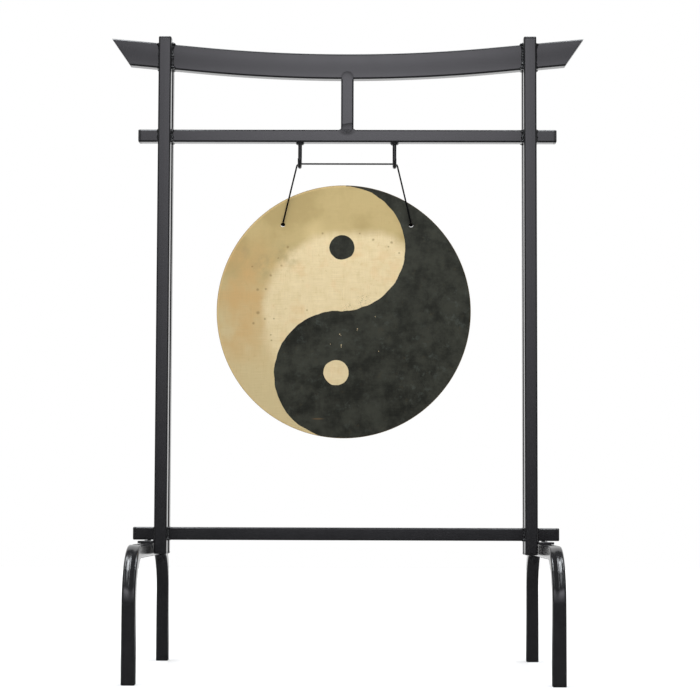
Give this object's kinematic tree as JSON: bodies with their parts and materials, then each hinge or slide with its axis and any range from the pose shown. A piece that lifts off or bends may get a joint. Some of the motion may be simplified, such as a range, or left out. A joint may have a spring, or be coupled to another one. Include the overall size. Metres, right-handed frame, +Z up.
{
  "type": "gong stand",
  "caption": "Freestanding torii-shaped gong stand of black square steel tube on arched legs, with a round yin-yang brass gong hung by a cord from J hooks.",
  "frame": {"origin": "on the floor, midway between the four feet", "axes": "+Z up; the front of the gong faces -Y; +X to the right as seen from the front"},
  "size_m": [0.9512, 0.635, 1.2682],
  "materials": {
    "black_steel": "satin black powder coat",
    "black_plastic": "moulded black plastic",
    "zinc_steel": "zinc plated",
    "painted_brass": "lathe-turned brass, half painted black as a yin-yang",
    "black_cord": "braided black cord"
  },
  "bodies": {
    "stand": {"front_left_post": "black_steel", "front_left_post_cap": "black_plastic", "front_left_post_plug": "black_plastic", "front_right_post": "black_steel", "front_right_post_cap": "black_plastic", "front_right_post_plug": "black_plastic", "rear_left_post": "black_steel", "rear_left_post_cap": "black_plastic", "rear_left_post_plug": "black_plastic", "rear_right_post": "black_steel", "rear_right_post_cap": "black_plastic", "rear_right_post_plug": "black_plastic", "bottom_bar": "black_steel", "bottom_bar_left_cap": "black_plastic", "bottom_bar_right_cap": "black_plastic", "cross_bar": "black_steel", "cross_bar_left_cap": "black_plastic", "cross_bar_right_cap": "black_plastic", "top_beam": "black_steel", "top_beam_left_end": "black_steel", "top_beam_right_end": "black_steel", "centre_strut": "black_steel", "left_leg": "black_steel", "left_leg_plate": "black_steel", "left_leg_front_foot": "black_plastic", "left_leg_front_washer": "zinc_steel", "left_leg_front_screw": "zinc_steel", "left_leg_rear_foot": "black_plastic", "left_leg_rear_washer": "zinc_steel", "left_leg_rear_screw": "zinc_steel", "right_leg": "black_steel", "right_leg_plate": "black_steel", "right_leg_front_foot": "black_plastic", "right_leg_front_washer": "zinc_steel", "right_leg_front_screw": "zinc_steel", "right_leg_rear_foot": "black_plastic", "right_leg_rear_washer": "zinc_steel", "right_leg_rear_screw": "zinc_steel", "left_hook": "black_steel", "right_hook": "black_steel"},
    "cord": {"hanging_cord": "black_cord"},
    "hung_gong": {"gong": "painted_brass", "left_knot": "black_cord", "right_knot": "black_cord"}
  },
  "joints": [
    {"name": "cord_swing", "type": "hinge", "parent": "stand", "child": "cord", "pos_m": [0, -0.012, 1.01315], "axis": [1, 0, 0], "range_deg": [-45, 45]},
    {"name": "gong_tilt", "type": "hinge", "parent": "cord", "child": "hung_gong", "pos_m": [0, -0.012, 0.89305], "axis": [-1, 0, 0], "range_deg": [0, 60]}
  ]
}
